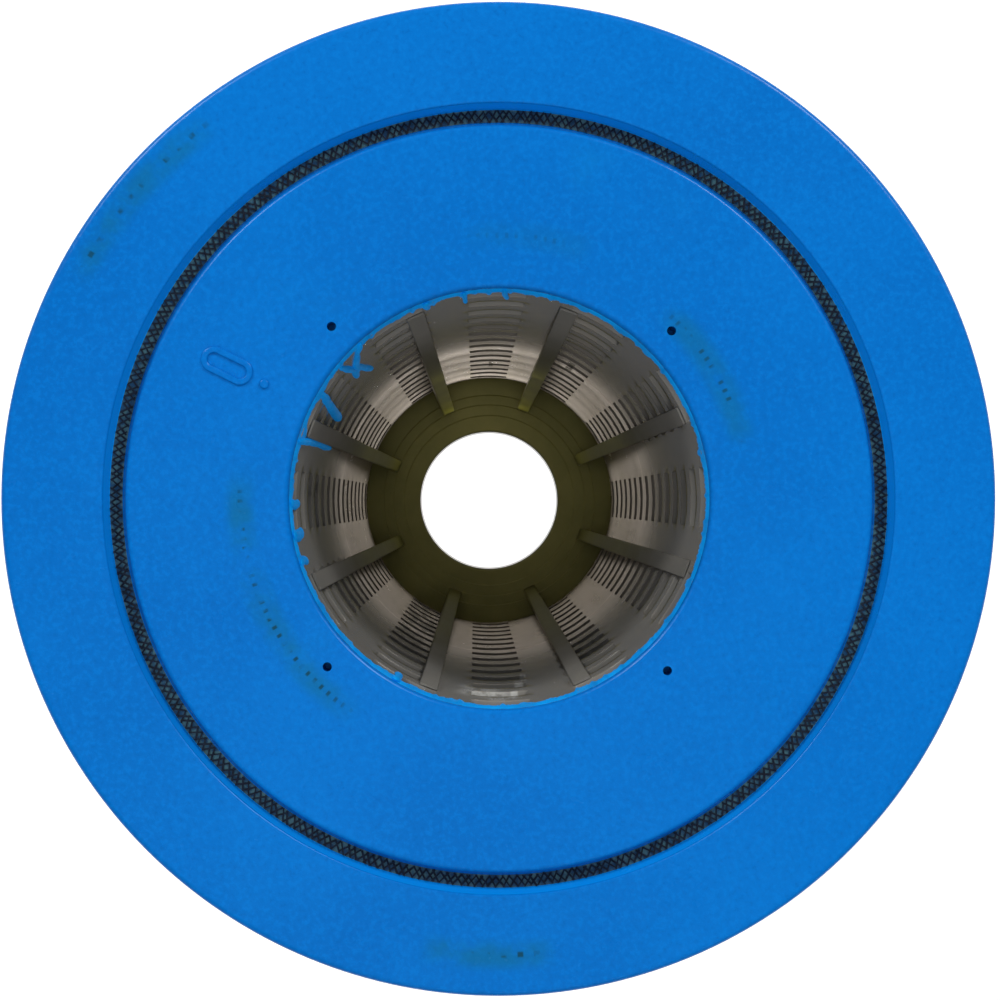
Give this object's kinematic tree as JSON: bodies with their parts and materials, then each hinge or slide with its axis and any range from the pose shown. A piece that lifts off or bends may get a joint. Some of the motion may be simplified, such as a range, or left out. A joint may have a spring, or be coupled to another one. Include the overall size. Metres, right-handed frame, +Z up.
{
  "type": "filter cartridge",
  "caption": "Pleated pool filter cartridge: a ring of folded cloth between two cast end caps, around a slotted core that is open at the top and drains through the bottom.",
  "frame": {"origin": "centre of the bottom end cap's face, on the axis of the core", "axes": "+Z up the axis of the core, towards the open top end cap; X and Y lie across it, with X through the middle of a window column"},
  "size_m": [0.227, 0.227, 0.378],
  "materials": {
    "blue_urethane": "semi-gloss cast urethane",
    "core_plastic": "gloss moulded plastic, tan grey",
    "dark_plastic": "satin moulded plastic, dark olive",
    "netting_plastic": "extruded plastic net",
    "filter_cloth": "point-bonded polyester cloth",
    "band_cloth": "woven polyester tape",
    "seam_glue": "hot-melt glue"
  },
  "bodies": {
    "root": {"top_end_cap": "blue_urethane", "bottom_end_cap": "blue_urethane", "core_upper_section": "core_plastic", "core_lower_section": "core_plastic", "core_coupling_ring": "dark_plastic", "core_base_plate": "dark_plastic", "guide_fin_1": "dark_plastic", "guide_fin_2": "dark_plastic", "guide_fin_3": "dark_plastic", "guide_fin_4": "dark_plastic", "guide_fin_5": "dark_plastic", "guide_fin_6": "dark_plastic", "guide_fin_7": "dark_plastic", "guide_fin_8": "dark_plastic", "support_netting": "netting_plastic", "pleated_media": "filter_cloth", "seam_bead": "seam_glue", "lower_pleat_band": "band_cloth", "middle_pleat_band": "band_cloth", "upper_pleat_band": "band_cloth"}
  },
  "joints": []
}
